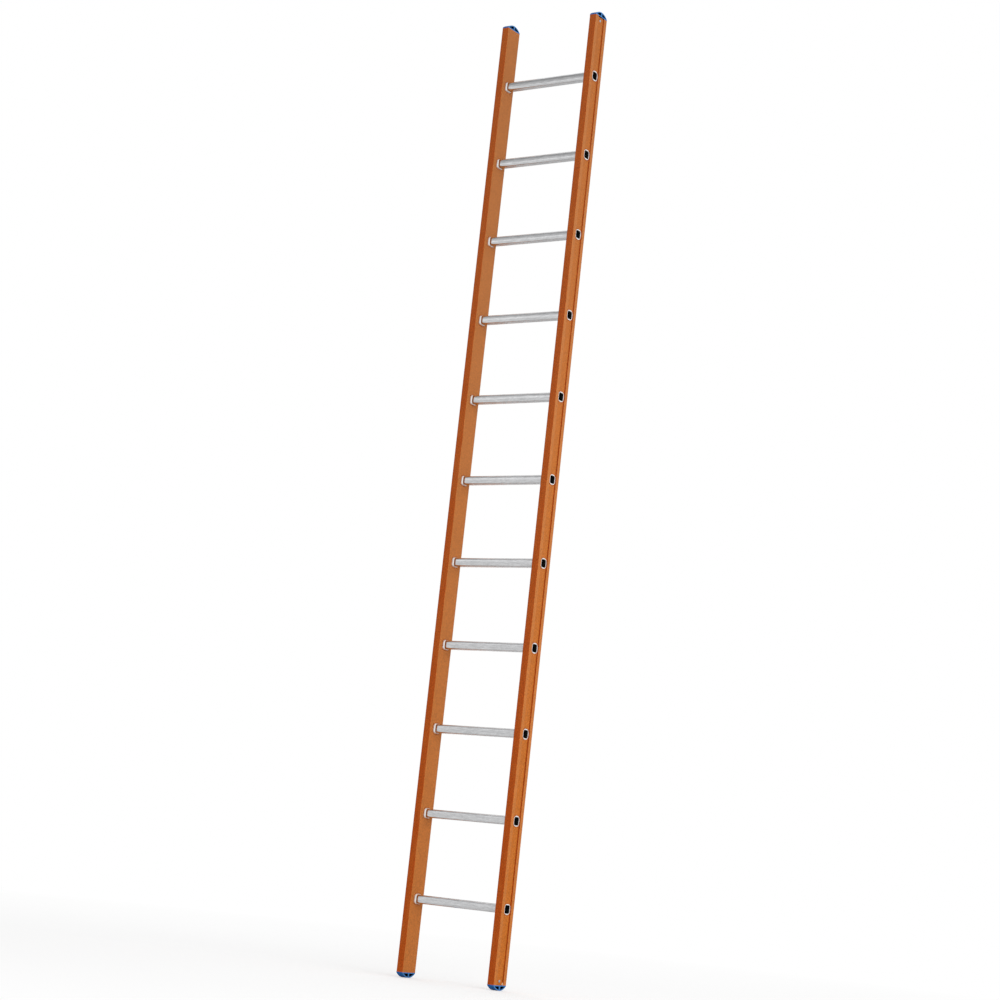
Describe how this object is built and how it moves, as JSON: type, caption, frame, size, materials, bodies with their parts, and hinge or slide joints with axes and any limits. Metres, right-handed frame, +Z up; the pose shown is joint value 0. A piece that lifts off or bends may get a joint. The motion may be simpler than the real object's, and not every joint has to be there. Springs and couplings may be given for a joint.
{
  "type": "single-section leaning ladder",
  "caption": "Straight leaning ladder: pultruded glass-fibre box stiles, swaged square aluminium rungs and domed plastic end caps.",
  "frame": {"origin": "on the ground, midway between the two feet", "axes": "+Z up the stiles, +X to the climber's right, +Y to the rear, towards the wall"},
  "size_m": [0.388, 0.069, 3.282],
  "materials": {
    "glass_fibre": "satin pultruded glass fibre, amber brown",
    "rung_aluminium": "satin mill finish",
    "cap_plastic": "moulded satin blue",
    "rivet_aluminium": "bright drawn"
  },
  "bodies": {
    "root": {"left_stile": "glass_fibre", "right_stile": "glass_fibre", "rung_01": "rung_aluminium", "rung_02": "rung_aluminium", "rung_03": "rung_aluminium", "rung_04": "rung_aluminium", "rung_05": "rung_aluminium", "rung_06": "rung_aluminium", "rung_07": "rung_aluminium", "rung_08": "rung_aluminium", "rung_09": "rung_aluminium", "rung_10": "rung_aluminium", "rung_11": "rung_aluminium", "foot_cap_left": "cap_plastic", "rivet_foot_left": "rivet_aluminium", "foot_cap_right": "cap_plastic", "rivet_foot_right": "rivet_aluminium", "top_cap_left": "cap_plastic", "rivet_top_left": "rivet_aluminium", "top_cap_right": "cap_plastic", "rivet_top_right": "rivet_aluminium"}
  },
  "joints": []
}
